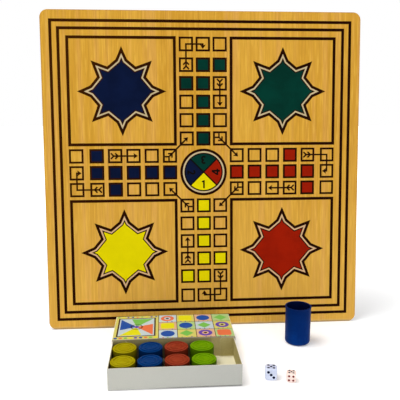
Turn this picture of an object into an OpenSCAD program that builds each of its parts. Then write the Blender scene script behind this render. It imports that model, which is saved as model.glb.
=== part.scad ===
// Ludo board with its playing set: a printed hardboard field that leans back a little, and in
// front of it a slide-out card box of stacked counters, a shaker cup and two dice.
// Millimetres, +Z up, +X right, +Y away from the viewer. The origin is on the table, under the
// middle of the whole set.

/* [Board] */
// Side of the square board
board_size = 500; // [440:5:560]
// Radius of the board's corners
board_corner_r = 12; // [6:1:30]
// Thickness of the hardboard
core_t = 3; // [2:0.5:6]
// Thickness of the wood-grain sheet glued to its front
sheet_t = 0.2; // [0.1:0.05:0.5]
// Thickness of a printed layer
ink_t = 0.12; // [0.08:0.01:0.2]
// Angle that the board leans back from upright
lean = 5; // [2:0.5:8]

/* [Frame lines and homes] */
// How far the print sits left of the board's middle
print_left = 0.9; // [0:0.1:3]
// Board edge to the outside of the outer frame line
frame_inset = 13.8; // [8:0.2:16]
// Board edge to the outside of the inner frame line
inner_frame_inset = 25.3; // [22:0.1:29]
// Board edge to the outside of a home square
home_inset = 38.8; // [35:0.1:45]
// Width of the frame lines and of the home squares' lines
frame_line_w = 4.5; // [2:0.1:5]
// Home square to the nearest row of cells
home_gap = 4.5; // [2:0.1:8]
// Home square's edge to the tips of its star
star_margin = 15.6; // [8:0.2:30]
// Width of a star's outer line
star_line_w = 4.3; // [2:0.1:5]
// Bare ring between a star's two lines
star_bare_w = 2.4; // [1:0.1:4]
// Width of a star's inner line
star_inner_line_w = 1.7; // [0.8:0.1:2.4]

/* [Track] */
// Side of a cell
cell_side = 22.4; // [18:0.2:24]
// Gap between the three rows of an arm
row_gap = 4; // [3:0.1:8]
// Width of a cell's line
cell_line_w = 3.1; // [1:0.1:3.5]
// Outermost cells set in from the homes' outer sides
arm_inset = 0.6; // [0:0.1:6]
// Gap between the outermost cells and the next
outer_cell_gap = 9.2; // [4:0.2:12]
// Width of a path's line
path_w = 2.5; // [1:0.1:2.6]
// Half width of an arrow's tail feathers
barb_half_w = 3.6; // [3:0.1:5]
// Half width of an arrow's head
head_half_w = 4.6; // [3:0.1:6]
// Length of an arrow's head
head_len = 6.8; // [3:0.1:7]
// Step between the two feathers of a tail
feather_step = 6.8; // [5:0.1:8]

/* [Centre] */
// Outside radius of the centre's ring
ring_r = 37.2; // [30:0.2:40]
// Width of the ring's line
ring_line_w = 4; // [2:0.1:5]
// Bare ring inside it
ring_bare_w = 2.5; // [2:0.1:5]
// Width of the colour disc's line and of the lines between its quarters
disc_line_w = 2.1; // [0.8:0.1:2.5]
// Height of a quarter's numeral, as a share of the quarter's radius
numeral_share = 0.46; // [0.3:0.01:0.5]
// Ring to the nearest cells
ring_gap = 4.8; // [3:0.1:8]

/* [Box] */
// Thickness of the folded card
card_t = 0.8; // [0.5:0.1:1.2]
// Outside width of the sleeve
sleeve_w = 174.4; // [174:0.2:200]
// Depth of the sleeve, front to back
sleeve_depth = 83; // [78:1:100]
// Outside height of the sleeve
sleeve_h = 31.6; // [31:0.2:45]
// Radius of the sleeve's folds
fold_r = 1.2; // [0.9:0.1:2]
// Free space on each side of the tray in the sleeve
tray_side_fit = 0.4; // [0.3:0.1:1]
// Free space above the tray in the sleeve
tray_top_fit = 0.6; // [0.3:0.1:1.5]
// Tray shorter than the sleeve by this
tray_short = 0.5; // [0:0.1:2]
// How much of the tray is still in the sleeve
tray_hold = 1.5; // [0:0.1:80]
// Length of the tray's corner tabs
tab_len = 20; // [10:1:40]
// Corner cut of the tabs and of the sleeve's glue flap
tab_cut = 3; // [1:0.5:6]
// Middle of the box, left of the board's middle
box_left = 53.2; // [30:0.2:80]
// Board's face to the back of the sleeve
box_gap = 31.9; // [10:0.1:60]

/* [Counters] */
// Diameter of a counter
counter_d = 32.8; // [30:0.1:33.4]
// Height that a counter adds to its stack
counter_h = 13.4; // [8:0.1:13.9]
// Thickness of a counter's top plate
counter_plate_t = 2; // [1.2:0.1:3]
// Thickness of a counter's skirt
counter_skirt_t = 1.85; // [1.2:0.05:3]
// Height of the stacking ring above the plate
stack_ring_h = 0.8; // [0.4:0.1:1.2]
// Width of the stacking ring
stack_ring_w = 2; // [1:0.1:3]
// Free space between a stacking ring and the skirt around it
stack_fit = 0.35; // [0.2:0.05:0.6]
// Edge chamfer of a counter
counter_chamfer = 0.5; // [0.2:0.1:0.8]
// Number of ribs under a counter's plate
counter_ribs = 6; // [3:1:8]
// Thickness of a rib
counter_rib_t = 1.2; // [0.8:0.1:2]
// Gap between the columns of stacks
column_gap = 2.6; // [0.6:0.1:3.6]
// Gap between the two rows of stacks
stack_row_gap = 6.4; // [0.6:0.1:7]
// Stacks set back from the tray's middle
stacks_back = 1.8; // [0:0.1:4]
// First column's gap to the tray's side
first_column_gap = 0.6; // [0.3:0.1:2]

/* [Cup] */
// Rim diameter of the cup
cup_d = 38.2; // [30:0.2:50]
// Height of the cup
cup_h = 57.6; // [40:0.2:80]
// Wall of the cup
cup_wall = 1.4; // [1:0.1:2.5]
// Floor of the cup
cup_floor = 2; // [1.2:0.1:4]
// Taper: how much smaller the foot's diameter is
cup_taper = 0.8; // [0:0.1:4]
// Radius round the foot
cup_foot_r = 4.5; // [2:0.1:6]
// Radius of the rim's bead
cup_bead_r = 0.5; // [0.4:0.1:1.2]
// Depth of the hollow under the foot
cup_foot_hollow = 0.8; // [0.3:0.1:1.2]
// Cup's middle, right of the board's middle
cup_right = 134.8; // [100:0.1:200]
// Board's face to the cup's middle
cup_front = 71.3; // [40:0.1:120]

/* [Dice] */
// Side of the first die
die_1_side = 16; // [12:0.2:17]
// Side of the second die
die_2_side = 12.6; // [10:0.2:14]
// Rounding ball as a share of the die's side
die_ball = 0.72; // [0.71:0.01:0.8]
// Radius of a pip, as a share of the die's side
pip_share = 0.105; // [0.07:0.005:0.105]
// Depth of a pip
pip_depth = 0.45; // [0.2:0.05:0.8]
// Pip spacing from the middle of a face, as a share of the side
pip_pitch = 0.22; // [0.22:0.01:0.3]
// First die's middle, right of the board's middle
die_1_right = 72.9; // [50:0.1:76]
// Board's face to the first die's middle
die_1_front = 177.1; // [120:0.1:184]
// Turn of the first die
die_1_turn = -10; // [-30:1:30]
// Second die's middle, right of the board's middle
die_2_right = 97.9; // [97:0.1:130]
// Board's face to the second die's middle
die_2_front = 186.5; // [120:0.1:187]
// Turn of the second die
die_2_turn = -15; // [-30:1:30]

/* [Hidden] */
$fn = 72;

// The board stands on its back lower edge. Its face meets the table at face_y.
board_t = core_t + sheet_t;
tray_depth = sleeve_depth - tray_short;
tray_out = tray_depth - tray_hold;
front_reach = box_gap + sleeve_depth + tray_out;
back_reach = board_t * cos(lean) + board_size * sin(lean);
face_y = (front_reach - back_reach) / 2;
foot_y = face_y + board_t * cos(lean);

// Playing field, measured from the board's middle.
board_half = board_size / 2;
home_outer = board_half - home_inset;
cell_pitch = cell_side + row_gap;
home_inner = cell_pitch + cell_side / 2 + home_gap;
home_side = home_outer - home_inner;
home_mid = (home_outer + home_inner) / 2;
star_r = home_side / 2 - star_margin;
inner_cell_y = ring_r + ring_gap + cell_side / 2;
outer_cell_y = home_outer - arm_inset - cell_side / 2;
CELLS_LONG = 6;
second_cell_y = outer_cell_y - outer_cell_gap - cell_side;
cell_step = (second_cell_y - inner_cell_y) / (CELLS_LONG - 2);

// Columns 0, 1, 2 of an arm run left to right, rows 0 to 5 from the outside in.
COLOURED_CELLS = [[1, 1], [2, 1], [0, 2], [1, 2], [1, 3], [1, 4], [1, 5]];
GREEN = 0;
BLUE = 1;
YELLOW = 2;
RED = 3;
INK = ["#02352a", "#0d1a3a", "#dfd000", "#a01e05"];
INK_BLACK = "#2a0e00";

// Centre, from the outside in.
bare_r = ring_r - ring_line_w;
disc_r = bare_r - ring_bare_w;
quarter_r = disc_r - disc_line_w;
numeral_h = quarter_r * numeral_share;
numeral_out = quarter_r * 0.68;
NUMERAL_OF = [3, 2, 1, 4];

// Box: the tray lies on the sleeve's floor, between its left wall and its doubled right wall.
box_x = -box_left;
sleeve_back_y = face_y - box_gap;
sleeve_front_y = sleeve_back_y - sleeve_depth;
flap_t = card_t;
tray_w = sleeve_w - 2 * card_t - flap_t - 2 * tray_side_fit;
tray_x = box_x - flap_t / 2;
tray_h = sleeve_h - 2 * card_t - tray_top_fit;
tray_z = card_t;
tray_front_y = sleeve_front_y - tray_out;
tray_mid_y = tray_front_y + tray_depth / 2;
tray_floor_z = tray_z + card_t;

// Stacks: each has a lower and an upper counter.
counter_r = counter_d / 2;
hollow_r = counter_r - counter_skirt_t;
stack_ring_r = hollow_r - stack_fit;
column_pitch = counter_d + column_gap;
first_column_x = tray_x - tray_w / 2 + card_t + first_column_gap + counter_r;
stack_row_pitch = counter_d + stack_row_gap;
BACK = 1;
FRONT = -1;
LOWER = 0;
UPPER = 1;
COUNTER_COLOUR = ["#6f9c0e", "#123f87", "#b8b416", "#a83222"];
COLUMN_OF = [3, 1, 0, 2];
counter_rib_drop = 4;
counter_boss_r = 3;

cup_y = face_y - cup_front;
cup_r = cup_d / 2;
cup_foot_outer_r = cup_r - cup_taper / 2;

// Points of an arc about [x, y], from angle a0 to a1.
function arc(x, y, r, a0, a1, n = 12) =
    [for (i = [0 : n]) [x + r * cos(a0 + (a1 - a0) * i / n), y + r * sin(a0 + (a1 - a0) * i / n)]];

function unit(v) = v / norm(v);

// The unit vector square to the step from a to b, on its right.
function inward(a, b) = let (t = unit(b - a)) [t[1], -t[0]];

// The point whose two neighbouring sides u and v both moved by d.
function mitre(p, u, v, d) = p + (u + v) * d / (1 + u * v);

// A polygon's points moved inwards by d. The points run clockwise.
function inset(pts, d) = [
    for (i = [0 : len(pts) - 1])
        let (
            n = len(pts),
            here = pts[i],
            u = inward(pts[(i + n - 1) % n], here),
            v = inward(here, pts[(i + 1) % n])
        )
        mitre(here, u, v, d)
];

// The outline of a band of width w along the given points.
function band_side(pts, d) = [
    for (i = [0 : len(pts) - 1])
        let (
            last = len(pts) - 1,
            u = inward(pts[max(i - 1, 0)], pts[max(i, 1)]),
            v = inward(pts[min(i, last - 1)], pts[min(i + 1, last)])
        )
        mitre(pts[i], u, v, d)
];
function back_to_front(a) = [for (i = [len(a) - 1 : -1 : 0]) a[i]];
function band(pts, w) = concat(band_side(pts, w / 2), back_to_front(band_side(pts, -w / 2)));

// An eighth of the star: a long tip, the bend in its side, the notch and the short tip, as
// shares of the long tip's reach. The whole star mirrors and turns it.
star_share = [[0, 1], [0.128, 0.708], [0.318, 0.55], [0.684, 0.684]];
function quarter_star(r) = concat(
    [for (p = star_share) p * r],
    [for (i = [2, 1]) [star_share[i][1], star_share[i][0]] * r]
);
function turned(p, a) = [p[0] * cos(a) + p[1] * sin(a), p[1] * cos(a) - p[0] * sin(a)];
function star(r) = [for (k = [0 : 3]) for (p = quarter_star(r)) turned(p, 90 * k)];

function cell_at(c, r) =
    [(c - 1) * cell_pitch, r == 0 ? outer_cell_y : second_cell_y - (r - 1) * cell_step];

// Stands a flat drawing on the board: x to the right, y up the board from its middle, and z
// out of its face, from the hardboard's back.
module on_board(z) {
    translate([0, foot_y, 0])
        rotate([-lean, 0, 0])
            translate([0, 0, board_half])
                rotate([90, 0, 0])
                    translate([0, 0, z])
                        children();
}

// A printed layer on the board's face.
module printed() {
    on_board(board_t)
        translate([-print_left, 0, 0])
            linear_extrude(ink_t)
                children();
}

module rounded_rect(w, h, r) {
    square([w - 2 * r, h], center = true);
    square([w, h - 2 * r], center = true);
    for (x = [-1, 1])
        for (y = [-1, 1])
            translate([x * (w / 2 - r), y * (h / 2 - r)])
                circle(r);
}

module square_line(side, w) {
    difference() {
        square(side, center = true);
        square(side - 2 * w, center = true);
    }
}

module board_outline() {
    rounded_rect(board_size, board_size, board_corner_r);
}

// A straight stroke from a to b, with square ends half a line width past them.
module stroke(a, b) {
    d = b - a;
    translate(a)
        rotate(atan2(d[1], d[0]))
            translate([-path_w / 2, -path_w / 2])
                square([norm(d) + path_w, path_w]);
}

// One feather pair, its point at [0, 0] and looking along +X.
module feathers() {
    for (s = [-1, 1])
        stroke([0, 0], [-barb_half_w, s * barb_half_w]);
}

// An arrow through the given points: two feather pairs about the first, a head whose tip is
// the last.
module arrow(pts) {
    n = len(pts);
    first = pts[1] - pts[0];
    last = pts[n - 1] - pts[n - 2];
    back_feather = pts[0] - unit(first) * feather_step / 3;
    head_root = pts[n - 1] - unit(last) * head_len * 0.8;
    shaft = concat([back_feather], [for (i = [1 : 1 : n - 2]) pts[i]], [head_root]);
    for (k = [0, 1])
        translate(back_feather + unit(first) * feather_step * k)
            rotate(atan2(first[1], first[0]))
                feathers();
    for (i = [0 : n - 2])
        stroke(shaft[i], shaft[i + 1]);
    translate(pts[n - 1])
        rotate(atan2(last[1], last[0]))
            polygon([
                [0, 0],
                [-head_len, head_half_w],
                [-head_len * 0.8, 0],
                [-head_len, -head_half_w]
            ]);
}

// Turn-back at the arm's end, the short hop down the right row, and the diagonal hop to the
// next arm. Each tip ends past the middle of its last cell.
module arm_paths() {
    turn_tip = 7.5;
    hop_tip = 6.8;
    diagonal_tip = 3;
    arrow([cell_at(0, 1), cell_at(0, 0), cell_at(1, 0), cell_at(1, 0) - [0, turn_tip]]);
    arrow([cell_at(2, 2), cell_at(2, 3) - [0, hop_tip]]);
    start = cell_at(2, 5);
    next_arm = [start[1], start[0]];
    arrow([start, next_arm + unit(next_arm - start) * diagonal_tip]);
}

module home_black() {
    translate([home_mid, home_mid]) {
        square_line(home_side, frame_line_w);
        difference() {
            polygon(star(star_r));
            polygon(inset(star(star_r), star_line_w));
        }
        difference() {
            polygon(inset(star(star_r), star_line_w + star_bare_w));
            polygon(inset(star(star_r), star_line_w + star_bare_w + star_inner_line_w));
        }
    }
}

module arm_black() {
    for (c = [0 : 2])
        for (r = [0 : CELLS_LONG - 1])
            translate(cell_at(c, r))
                square_line(cell_side, cell_line_w);
    arm_paths();
}

module centre_black() {
    difference() {
        circle(ring_r);
        circle(bare_r);
    }
    difference() {
        circle(disc_r);
        for (k = [0 : 3])
            rotate(90 * k)
                disc_quarter(NUMERAL_OF[k]);
    }
}

// A quarter of the colour disc, up the board from the middle and half a line short of its
// neighbours. Its numeral, left open, has its top towards the middle.
module disc_quarter(n) {
    apex = disc_line_w / sqrt(2);
    difference() {
        intersection() {
            circle(quarter_r);
            translate([0, apex])
                rotate(45)
                    square(disc_r);
        }
        translate([0, numeral_out])
            rotate(180)
                scale(numeral_h)
                    numeral(n);
    }
}

// A numeral, one unit high.
module numeral(n) {
    line_share = 0.2;
    if (n == 1)
        polygon([
            [-0.24, 0.22], [-0.24, 0.37], [0.02, 0.5], [0.13, 0.5],
            [0.13, -0.5], [-0.07, -0.5], [-0.07, 0.27]
        ]);
    if (n == 2)
        polygon(band(concat(arc(0, 0.2, 0.2, 170, -35, 8), [[-0.1, -0.4], [0.28, -0.4]]), line_share));
    if (n == 3) {
        polygon(band(arc(-0.02, 0.21, 0.19, 150, -100, 10), line_share));
        polygon(band(arc(-0.02, -0.18, 0.22, 100, -150, 10), line_share));
    }
    if (n == 4) {
        translate([0.03, -0.5])
            square([line_share + 0.02, 1]);
        translate([-0.38, -0.3])
            square([0.76, line_share]);
        polygon([[-0.38, -0.12], [-0.14, -0.12], [0.18, 0.5], [0.03, 0.5]]);
    }
}

// Everything of one colour: its cells, its home's star and its quarter of the disc.
module colour_field(k) {
    rotate(90 * k) {
        for (c = COLOURED_CELLS)
            translate(cell_at(c[0], c[1]))
                square(cell_side - 2 * cell_line_w, center = true);
        translate([home_mid, home_mid])
            polygon(inset(star(star_r), star_line_w + star_bare_w + star_inner_line_w));
        disc_quarter(NUMERAL_OF[k]);
    }
}

module board_core() {
    color("#7a5230")
        on_board(0)
            linear_extrude(core_t)
                board_outline();
}

module face_sheet() {
    color("#d9a441")
        on_board(core_t)
            linear_extrude(sheet_t)
                board_outline();
}

module print_black() {
    color(INK_BLACK)
        printed() {
            square_line(board_size - 2 * frame_inset, frame_line_w);
            square_line(board_size - 2 * inner_frame_inset, frame_line_w);
            for (k = [0 : 3])
                rotate(90 * k) {
                    home_black();
                    arm_black();
                }
            centre_black();
        }
}

module print_colour(k) {
    color(INK[k])
        printed()
            colour_field(k);
}

// A card tube, open at the front and back. The sheet's end is glued inside the right wall, and
// is one with it from the middle of the card.
module box_sleeve() {
    inner_w = sleeve_w - 2 * card_t;
    inner_h = sleeve_h - 2 * card_t;
    flap_h = inner_h - 2 * fold_r;
    color("#e9e4c8")
        translate([box_x, 0, sleeve_h / 2]) {
            translate([0, sleeve_back_y, 0])
                rotate([90, 0, 0])
                    linear_extrude(sleeve_depth)
                        difference() {
                            rounded_rect(sleeve_w, sleeve_h, fold_r);
                            square([inner_w, inner_h], center = true);
                        }
            translate([inner_w / 2 + card_t / 2, (sleeve_back_y + sleeve_front_y) / 2, 0])
                rotate([0, -90, 0])
                    linear_extrude(flap_t + card_t / 2)
                        cut_rect(flap_h, sleeve_depth, tab_cut);
        }
}

// A rectangle about the origin with its corners cut.
module cut_rect(w, h, cut) {
    x = w / 2;
    y = h / 2;
    polygon([
        [-x, cut - y], [cut - x, -y], [x - cut, -y], [x, cut - y],
        [x, y - cut], [x - cut, y], [cut - x, y], [-x, y - cut]
    ]);
}

// An open tray folded from one sheet: the side walls' tabs are glued inside the long walls.
module box_tray() {
    color("#cfcfc4")
        translate([tray_x, tray_mid_y, tray_z]) {
            difference() {
                linear_extrude(tray_h)
                    rounded_rect(tray_w, tray_depth, card_t);
                translate([0, 0, card_t + tray_h / 2])
                    cube([tray_w - 2 * card_t, tray_depth - 2 * card_t, tray_h], center = true);
            }
            for (s = [-1, 1])
                for (f = [-1, 1])
                    tray_tab(s, f);
        }
}

// A tab runs into the middle of the card of the walls and floor that it meets.
module tray_tab(s, f) {
    tab_h = tray_h - card_t - tab_cut / 2;
    wall_y = tray_depth / 2 - card_t;
    inner_x = tray_w / 2 - card_t;
    root = card_t / 2;
    translate([s * inner_x, f * wall_y, card_t])
        rotate([90, 0, 0])
            translate([0, 0, f > 0 ? -root : -card_t])
                linear_extrude(card_t + root)
                    polygon([
                        [s * root, -root], [-s * (tab_len - tab_cut), -root], [-s * tab_len, tab_cut],
                        [-s * tab_len, tab_h - tab_cut], [-s * (tab_len - tab_cut), tab_h], [s * root, tab_h]
                    ]);
}

// A moulded counter: plate, skirt, a stacking ring that the skirt of the next one drops over,
// a shallow inner ring, and ribs about a boss underneath.
module counter() {
    inner_ring_r = stack_ring_r * 0.6;
    inner_ring_w = 0.9;
    rotate_extrude()
        polygon([
            [0, counter_h - counter_plate_t],
            [hollow_r, counter_h - counter_plate_t],
            [hollow_r, 0],
            [counter_r - counter_chamfer, 0],
            [counter_r, counter_chamfer],
            [counter_r, counter_h - counter_chamfer],
            [counter_r - counter_chamfer, counter_h],
            [stack_ring_r, counter_h],
            [stack_ring_r, counter_h + stack_ring_h],
            [stack_ring_r - stack_ring_w, counter_h + stack_ring_h],
            [stack_ring_r - stack_ring_w, counter_h],
            [inner_ring_r, counter_h],
            [inner_ring_r, counter_h + stack_ring_h / 2],
            [inner_ring_r - inner_ring_w, counter_h + stack_ring_h / 2],
            [inner_ring_r - inner_ring_w, counter_h],
            [0, counter_h]
        ]);
    rib_h = counter_h - counter_plate_t - counter_rib_drop;
    translate([0, 0, counter_rib_drop]) {
        cylinder(h = rib_h, r = counter_boss_r);
        for (i = [0 : counter_ribs - 1])
            rotate(360 * i / counter_ribs)
                translate([0, -counter_rib_t / 2, 0])
                    cube([hollow_r + counter_skirt_t / 2, counter_rib_t, rib_h]);
    }
}

module stacked_counter(colour, row, level) {
    color(COUNTER_COLOUR[colour])
        translate([
            first_column_x + COLUMN_OF[colour] * column_pitch,
            tray_mid_y + stacks_back + row * stack_row_pitch / 2,
            tray_floor_z + level * counter_h
        ])
            counter();
}

// A tapered tumbler with a rounded foot, a beaded rim and a shallow hollow under its floor.
module shaker_cup() {
    inner_r = cup_r - cup_wall;
    inner_foot_r = cup_foot_outer_r - cup_wall;
    corner_in = cup_foot_r - cup_wall;
    hollow = cup_foot_outer_r - cup_foot_r - cup_wall;
    bead_z = cup_h - cup_bead_r;
    color("#1b3f8f")
        translate([cup_right, cup_y, 0]) {
            rotate_extrude()
                polygon(concat(
                    [[0, cup_foot_hollow], [hollow - cup_foot_hollow, cup_foot_hollow], [hollow, 0]],
                    arc(cup_foot_outer_r - cup_foot_r, cup_foot_r, cup_foot_r, -90, 0),
                    arc(cup_r, bead_z, cup_bead_r, -60, 90),
                    arc(inner_r + cup_bead_r / 2, cup_h - cup_bead_r / 2, cup_bead_r / 2, 90, 180, 4),
                    arc(inner_foot_r - corner_in, cup_floor + corner_in, corner_in, 0, -90),
                    [[0, cup_floor]]
                ));
        }
}

// Pips of one face, drawn about [0, 0] and looking along +Z.
module pips(n, side) {
    p = side * pip_pitch;
    pip_r = side * pip_share;
    spots = concat(
        n % 2 == 1 ? [[0, 0]] : [],
        n > 1 ? [[-p, p], [p, -p]] : [],
        n > 3 ? [[p, p], [-p, -p]] : [],
        n == 6 ? [[-p, 0], [p, 0]] : []
    );
    ball = (pip_r * pip_r + pip_depth * pip_depth) / (2 * pip_depth);
    for (s = spots)
        translate([s[0], s[1], ball - pip_depth])
            sphere(ball, $fn = 48);
}

// A die on the table: opposite faces add up to seven.
module die(side, top, front, right) {
    faces = [
        [[0, 0, 0], top], [[180, 0, 0], 7 - top],
        [[90, 0, 0], front], [[-90, 0, 0], 7 - front],
        [[90, 0, 90], right], [[90, 0, -90], 7 - right]
    ];
    translate([0, 0, side / 2])
        difference() {
            intersection() {
                cube(side, center = true);
                sphere(side * die_ball);
            }
            for (f = faces)
                rotate(f[0])
                    translate([0, 0, side / 2])
                        pips(f[1], side);
        }
}

module die_1() {
    color("#e8ebf5")
        translate([die_1_right, face_y - die_1_front, 0])
            rotate(die_1_turn)
                die(die_1_side, 5, 3, 6);
}

module die_2() {
    color("#f3e9e6")
        translate([die_2_right, face_y - die_2_front, 0])
            rotate(die_2_turn)
                die(die_2_side, 5, 4, 1);
}

board_core();
face_sheet();
print_black();
print_colour(GREEN);  // print_green
print_colour(BLUE);  // print_blue
print_colour(YELLOW);  // print_yellow
print_colour(RED);  // print_red
box_sleeve();
box_tray();
stacked_counter(YELLOW, BACK, LOWER);  // counter_yellow_1
stacked_counter(YELLOW, BACK, UPPER);  // counter_yellow_2
stacked_counter(YELLOW, FRONT, LOWER);  // counter_yellow_3
stacked_counter(YELLOW, FRONT, UPPER);  // counter_yellow_4
stacked_counter(BLUE, BACK, LOWER);  // counter_blue_1
stacked_counter(BLUE, BACK, UPPER);  // counter_blue_2
stacked_counter(BLUE, FRONT, LOWER);  // counter_blue_3
stacked_counter(BLUE, FRONT, UPPER);  // counter_blue_4
stacked_counter(RED, BACK, LOWER);  // counter_red_1
stacked_counter(RED, BACK, UPPER);  // counter_red_2
stacked_counter(RED, FRONT, LOWER);  // counter_red_3
stacked_counter(RED, FRONT, UPPER);  // counter_red_4
stacked_counter(GREEN, BACK, LOWER);  // counter_green_1
stacked_counter(GREEN, BACK, UPPER);  // counter_green_2
stacked_counter(GREEN, FRONT, LOWER);  // counter_green_3
stacked_counter(GREEN, FRONT, UPPER);  // counter_green_4
shaker_cup();
die_1();
die_2();
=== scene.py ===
"""Looks of the ludo board and its playing set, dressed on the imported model.

Lengths are in metres. Every new piece is a surface worked out with numpy from two parameters,
or a profile carried along a path; its function says how.
"""

import math

import bpy
import numpy as np
from mathutils import Matrix, Vector


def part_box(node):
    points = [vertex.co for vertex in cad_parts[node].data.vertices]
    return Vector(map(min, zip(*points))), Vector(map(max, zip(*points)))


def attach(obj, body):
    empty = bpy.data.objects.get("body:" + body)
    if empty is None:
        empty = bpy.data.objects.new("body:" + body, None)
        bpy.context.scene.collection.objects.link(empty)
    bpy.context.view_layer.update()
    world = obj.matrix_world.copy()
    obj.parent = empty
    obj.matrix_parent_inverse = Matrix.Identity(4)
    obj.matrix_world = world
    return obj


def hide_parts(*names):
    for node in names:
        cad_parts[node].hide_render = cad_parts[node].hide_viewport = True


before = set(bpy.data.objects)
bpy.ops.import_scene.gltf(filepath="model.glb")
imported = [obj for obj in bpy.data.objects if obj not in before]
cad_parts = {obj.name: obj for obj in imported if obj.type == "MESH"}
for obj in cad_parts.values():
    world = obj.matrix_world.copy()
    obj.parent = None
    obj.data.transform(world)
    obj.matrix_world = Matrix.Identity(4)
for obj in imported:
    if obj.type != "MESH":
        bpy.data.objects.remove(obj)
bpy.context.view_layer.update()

MM = 0.001
LEAN = math.radians(5)
COLOURS = ("yellow", "blue", "red", "green")
BOARD_HALF = 250 * MM
# the print's middle lies this far left of the board's
PRINT_LEFT = 0.9 * MM
# heights on the sheet, in coordinates turned by LEAN so that it stands upright
SHEET_MIDDLE = 256.8 * MM
SHEET_FOOT = SHEET_MIDDLE - BOARD_HALF


# Meshes

# points closer than this are one point
WELD = 0.0002 * MM


class Skin:
    """Grids of points gathered into one mesh. Points that fall together are welded, so seams
    and poles close, and a quad that shrinks to three corners becomes a triangle."""

    def __init__(self):
        self.points = []
        self.quads = []
        self.slots = []
        self.count = 0

    def grid(self, points, slot=0, flip=False):
        """Quads between the neighbours of an array of points (rows, columns, 3). They face along
        the cross product of a step to the next row and a step to the next column, or the other
        way when they are flipped."""
        rows, columns = points.shape[:2]
        index = np.arange(rows * columns).reshape(rows, columns) + self.count
        quads = np.stack(
            [index[:-1, :-1], index[1:, :-1], index[1:, 1:], index[:-1, 1:]], -1
        ).reshape(-1, 4)
        self.quads.append(quads[:, ::-1] if flip else quads)
        self.points.append(points.reshape(-1, 3))
        self.slots.append(np.full(len(quads), slot))
        self.count += rows * columns
        return self

    def mesh(self, name, materials, crease=35):
        """The welded mesh, smooth apart from edges sharper than crease."""
        points = np.concatenate(self.points)
        quads = np.concatenate(self.quads)
        slots = np.concatenate(self.slots)
        cells = np.round(points / WELD).astype(np.int64)
        _, first, weld = np.unique(cells, axis=0, return_index=True, return_inverse=True)
        points = points[first]
        quads = weld.reshape(-1)[quads]
        same = quads == np.roll(quads, -1, axis=1)
        whole = same.sum(1) == 0
        three = same.sum(1) == 1
        corner = same[three].argmax(1)
        keep = (corner[:, None] + np.array([1, 2, 3])) % 4
        triangles = np.take_along_axis(quads[three], keep, axis=1)
        mesh = bpy.data.meshes.new(name)
        mesh.from_pydata(points.tolist(), [], quads[whole].tolist() + triangles.tolist())
        for material in materials:
            mesh.materials.append(material)
        mesh.polygons.foreach_set(
            "material_index", np.concatenate([slots[whole], slots[three]]).astype(np.int32)
        )
        mesh.polygons.foreach_set("use_smooth", np.ones(len(mesh.polygons), bool))
        mesh.set_sharp_from_angle(angle=math.radians(crease))
        mesh.update()
        return mesh

    def piece(self, name, materials, body, replaced=(), slot=None, crease=35):
        """The mesh as an object that rides on a body."""
        obj = bpy.data.objects.new(name, self.mesh(name, materials, crease))
        bpy.context.scene.collection.objects.link(obj)
        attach(obj, body)
        if replaced:
            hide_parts(*replaced)


def rounded(corners, radii, closed=False, steps=6):
    """A line through corners, each turned by an arc of its radius: the arc touches both sides at
    radius / tan(half the corner's angle) from it, and is walked in equal angles."""
    corners = np.asarray(corners, float)
    radii = np.broadcast_to(np.asarray(radii, float), len(corners))
    out = []
    for i, (here, radius) in enumerate(zip(corners, radii)):
        if radius <= 0 or (not closed and i in (0, len(corners) - 1)):
            out.append(here[None])
            continue
        a = corners[i - 1] - here
        b = corners[(i + 1) % len(corners)] - here
        a, b = a / np.linalg.norm(a), b / np.linalg.norm(b)
        half = math.acos(float(np.clip(a @ b, -1, 1))) / 2
        middle = (a + b) / np.linalg.norm(a + b)
        centre = here + middle * radius / math.sin(half)
        start = here + a * radius / math.tan(half) - centre
        side = start - middle * (start @ middle)
        side = side / np.linalg.norm(side)
        sweep = math.pi / 2 - half
        t = np.linspace(sweep, -sweep, steps + 1)[:, None]
        out.append(centre - radius * np.cos(t) * middle + radius * np.sin(t) * side)
    return np.concatenate(out)


def stepped(line, pitch):
    """The same line with points added, so that no step is longer than pitch."""
    steps = np.linalg.norm(np.diff(line, axis=0), axis=1)
    parts = [
        a + (b - a) * np.linspace(0, 1, max(1, math.ceil(s / pitch)), endpoint=False)[:, None]
        for a, b, s in zip(line[:-1], line[1:], steps)
    ]
    return np.concatenate(parts + [line[-1:]])


def full_turn(sides):
    """The angles of one turn in equal steps. The last is 0 again, so that the seam closes."""
    angle = np.linspace(0, 2 * math.pi, sides + 1)
    angle[-1] = 0
    return angle


def turned(profile, centre, sides):
    """A profile of (radius, height) turned about an upright axis: P(i, a) = centre +
    (r_i cos a, -r_i sin a, z_i). Seen with the axis on its left, the profile runs anticlockwise."""
    angle = full_turn(sides)
    r, z = profile[:, :1], profile[:, 1:]
    return np.stack(
        [
            centre[0] + r * np.cos(angle),
            centre[1] - r * np.sin(angle),
            centre[2] + z + 0 * angle,
        ],
        -1,
    )


def bar(start, end, width, low, high):
    """A straight rib: a rectangle width wide, from low to high, carried from start to end and
    closed at both. Each row of points is the rectangle's ring, or its middle at the ends."""
    start, end = np.array(start, float), np.array(end, float)
    along = (end - start) / np.linalg.norm(end - start)
    side = np.array([-along[1], along[0]]) * width / 2
    offsets = np.array([[-1, low], [1, low], [1, high], [-1, high], [-1, low]])
    rows = []
    for point, size in ((start, 0), (start, 1), (end, 1), (end, 0)):
        ring = point + offsets[:, :1] * side * size
        heights = offsets[:, 1:] if size else np.full((5, 1), (low + high) / 2)
        rows.append(np.hstack([ring, heights]))
    return np.stack(rows)


# Finishes


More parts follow.
